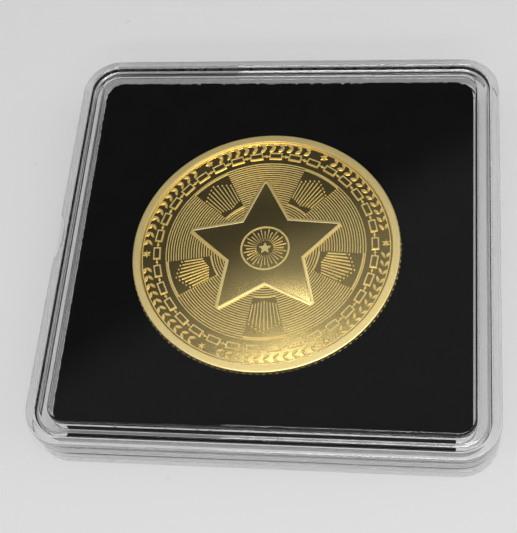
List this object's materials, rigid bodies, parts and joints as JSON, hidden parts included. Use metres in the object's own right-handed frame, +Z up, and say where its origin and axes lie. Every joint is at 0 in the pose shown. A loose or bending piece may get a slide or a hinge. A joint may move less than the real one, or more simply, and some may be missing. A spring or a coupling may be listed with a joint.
{
  "type": "coin capsule",
  "caption": "Square clear snap-together coin capsule with a raised window, a thumb notch and a black velvet-faced foam insert that holds a round gold-coloured medal.",
  "frame": {"origin": "centre of the capsule's underside, on the plane of the foot ring", "axes": "+Z up through the window, the coin face up; -X is the wall with the thumb notch; +Y away from the viewer, towards the top of the coin's design"},
  "size_m": [0.066, 0.066, 0.0075],
  "materials": {
    "clear_plastic": "clear polystyrene with polished faces and fine moulding marks on its edges",
    "black_foam": "matt black fine-celled foam",
    "black_velvet": "flocked black velvet with a short pile and a fuzzy cut edge",
    "gold_plate": "gold-coloured plating, mirror fields and frosted relief"
  },
  "bodies": {
    "base": {"base_shell": "clear_plastic"},
    "lid": {"lid_shell": "clear_plastic"},
    "insert": {"foam_pad": "black_foam", "velvet_facing": "black_velvet"},
    "coin": {"coin": "gold_plate"}
  },
  "joints": [
    {"name": "lid_lift", "type": "slide", "parent": "base", "child": "lid", "axis": [0, 0, 1], "range_m": [0, 0.03]},
    {"name": "insert_lift", "type": "slide", "parent": "base", "child": "insert", "axis": [0, 0, 1], "range_m": [0, 0.0075]},
    {"name": "coin_lift", "type": "slide", "parent": "insert", "child": "coin", "axis": [0, 0, 1], "range_m": [0, 0.0105]}
  ],
  "couplings": [
    {"joint": "insert_lift", "follows": "lid_lift", "ratio": 0.25},
    {"joint": "coin_lift", "follows": "lid_lift", "ratio": 0.35}
  ]
}
